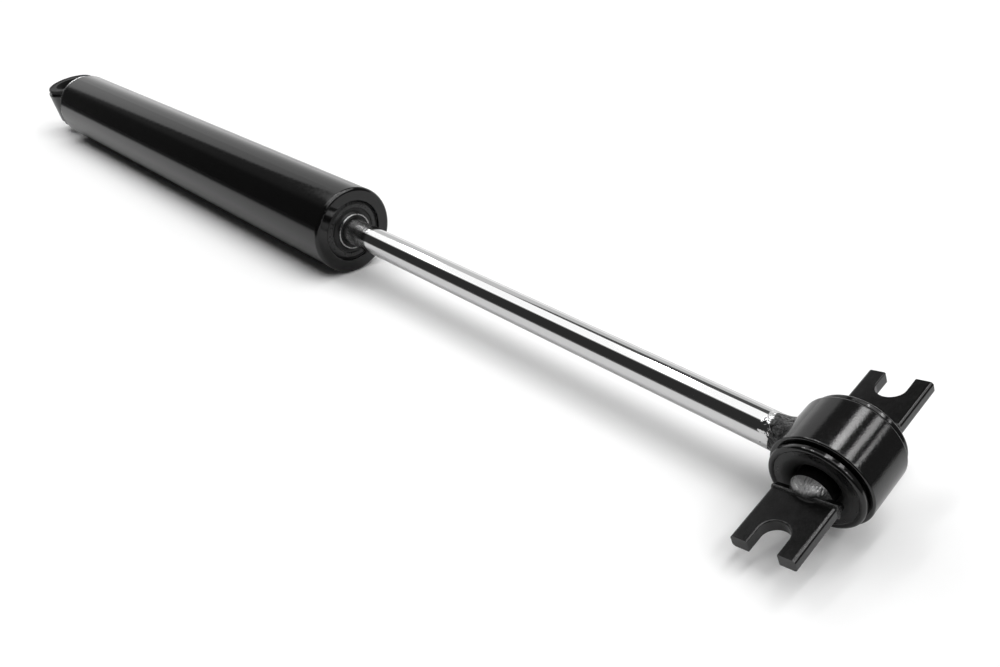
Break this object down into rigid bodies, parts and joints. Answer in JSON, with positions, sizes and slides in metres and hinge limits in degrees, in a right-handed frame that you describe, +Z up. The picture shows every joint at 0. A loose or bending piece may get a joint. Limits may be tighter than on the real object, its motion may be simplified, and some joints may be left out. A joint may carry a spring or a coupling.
{
  "type": "shock absorber",
  "caption": "Telescopic hydraulic shock absorber: gloss black tube, chromed rod, a rubber-bushed base eye and a rod eye holding a bar pin with open slotted ends.",
  "frame": {"origin": "on the floor plane under the middle of the whole length, the tube lying on the floor", "axes": "+X along the shock from the rod eye to the base eye, +Z up from the floor, rod fully drawn out"},
  "size_m": [0.7465, 0.0968, 0.0508],
  "materials": {
    "black_paint": "gloss",
    "chrome": "polished",
    "bush_rubber": "satin",
    "seal_rubber": "matte",
    "steel": "bright",
    "sintered_iron": "matte",
    "bronze": "satin",
    "band_plastic": "matte"
  },
  "bodies": {
    "tube": {"reservoir_tube": "black_paint", "seal_cover": "black_paint", "rod_seal": "seal_rubber", "wiper_ring": "steel", "garter_spring": "steel", "rod_guide": "sintered_iron", "rod_guide_bush": "bronze", "guide_oring": "seal_rubber", "pressure_tube": "steel", "foot_valve_body": "sintered_iron", "foot_valve_disc_1": "steel", "foot_valve_disc_2": "steel", "foot_valve_bolt": "steel", "foot_valve_collar": "steel", "foot_valve_intake_disc": "steel", "foot_valve_spring": "steel", "base_cap": "black_paint", "base_cap_weld": "black_paint", "base_eye_ring": "black_paint", "base_eye_weld": "black_paint", "base_eye_bush": "bush_rubber"},
    "slide_band": {"piston_band": "band_plastic"},
    "rod": {"piston_rod": "chrome", "rebound_bumper": "seal_rubber", "rebound_stop": "steel", "piston_washer": "steel", "piston_intake_disc": "steel", "piston": "sintered_iron", "recoil_disc_1": "steel", "recoil_disc_2": "steel", "recoil_washer": "steel", "piston_nut": "steel", "rod_eye_ring": "black_paint", "rod_eye_weld": "black_paint", "rod_eye_bush": "bush_rubber"},
    "bar_pin": {"bar_pin_core": "black_paint", "fork_plate_a": "black_paint", "fork_plate_b": "black_paint", "fork_weld_a": "black_paint", "fork_weld_b": "black_paint"}
  },
  "joints": [
    {"name": "rod_slide", "type": "slide", "parent": "tube", "child": "slide_band", "axis": [1, 0, 0], "range_m": [0, 0.265]},
    {"name": "rod_turn", "type": "hinge", "parent": "slide_band", "child": "rod", "pos_m": [0, 0, 0.0254], "axis": [1, 0, 0], "continuous": true},
    {"name": "pin_twist", "type": "hinge", "parent": "rod", "child": "bar_pin", "pos_m": [-0.35325, 0, 0.0254], "axis": [0, 0.965, -0.2622], "range_deg": [-12, 12], "stiffness_Nm_per_rad": 30}
  ]
}
